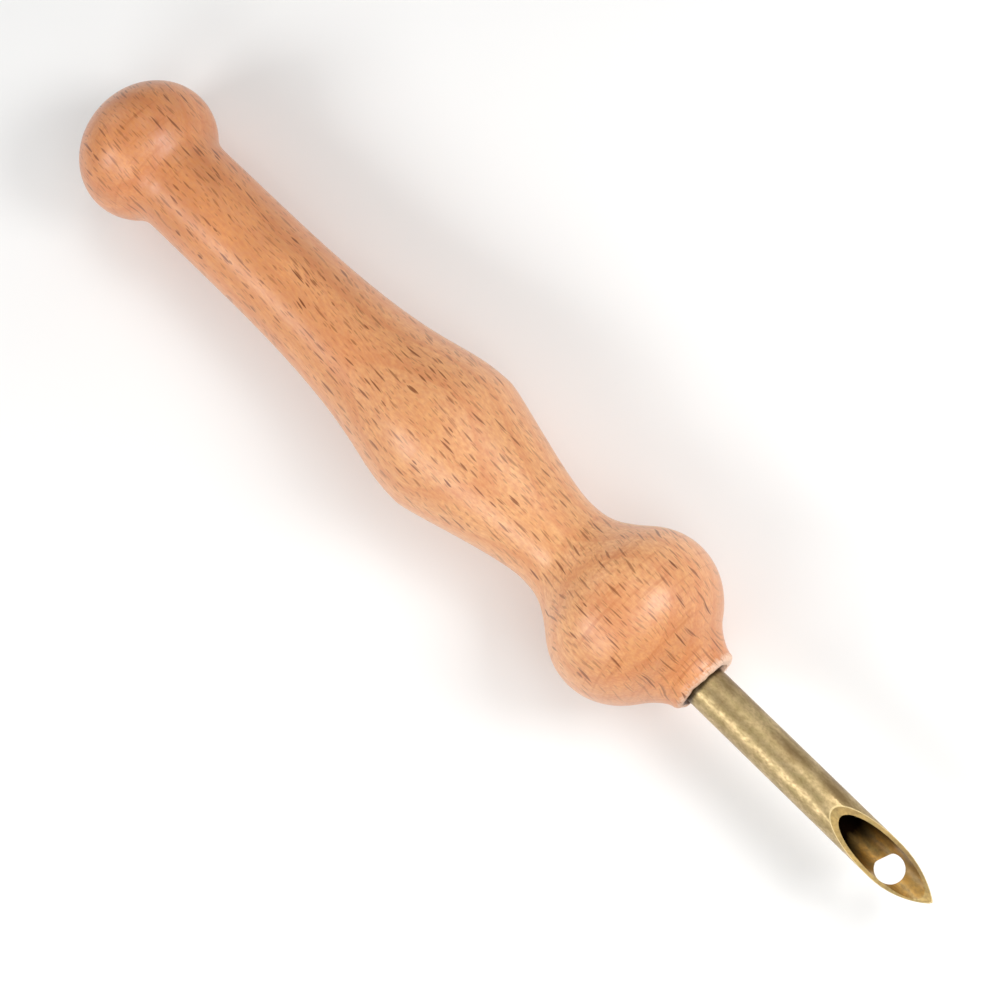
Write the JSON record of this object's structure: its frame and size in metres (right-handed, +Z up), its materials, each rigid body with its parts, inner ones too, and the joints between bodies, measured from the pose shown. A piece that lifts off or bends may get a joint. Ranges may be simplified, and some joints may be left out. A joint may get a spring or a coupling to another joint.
{
  "type": "punch needle",
  "caption": "Punch needle for rug and embroidery loops: a turned beech handle with a bevelled brass tube needle that has a pointed nib and a round eye.",
  "frame": {"origin": "on the surface that the tool lies on, below the middle of its length, with its axis 11.7 mm above", "axes": "+X along the tool's axis towards the needle's tip, +Z up and out of the needle's bevelled opening, +Y to the left seen from the butt"},
  "size_m": [0.146, 0.0234, 0.0234],
  "materials": {
    "beech": "satin lacquer",
    "brass": "satin, lightly tarnished",
    "epoxy": "gloss"
  },
  "bodies": {
    "root": {"handle": "beech", "needle_tube": "brass", "adhesive_sleeve": "epoxy"}
  },
  "joints": []
}
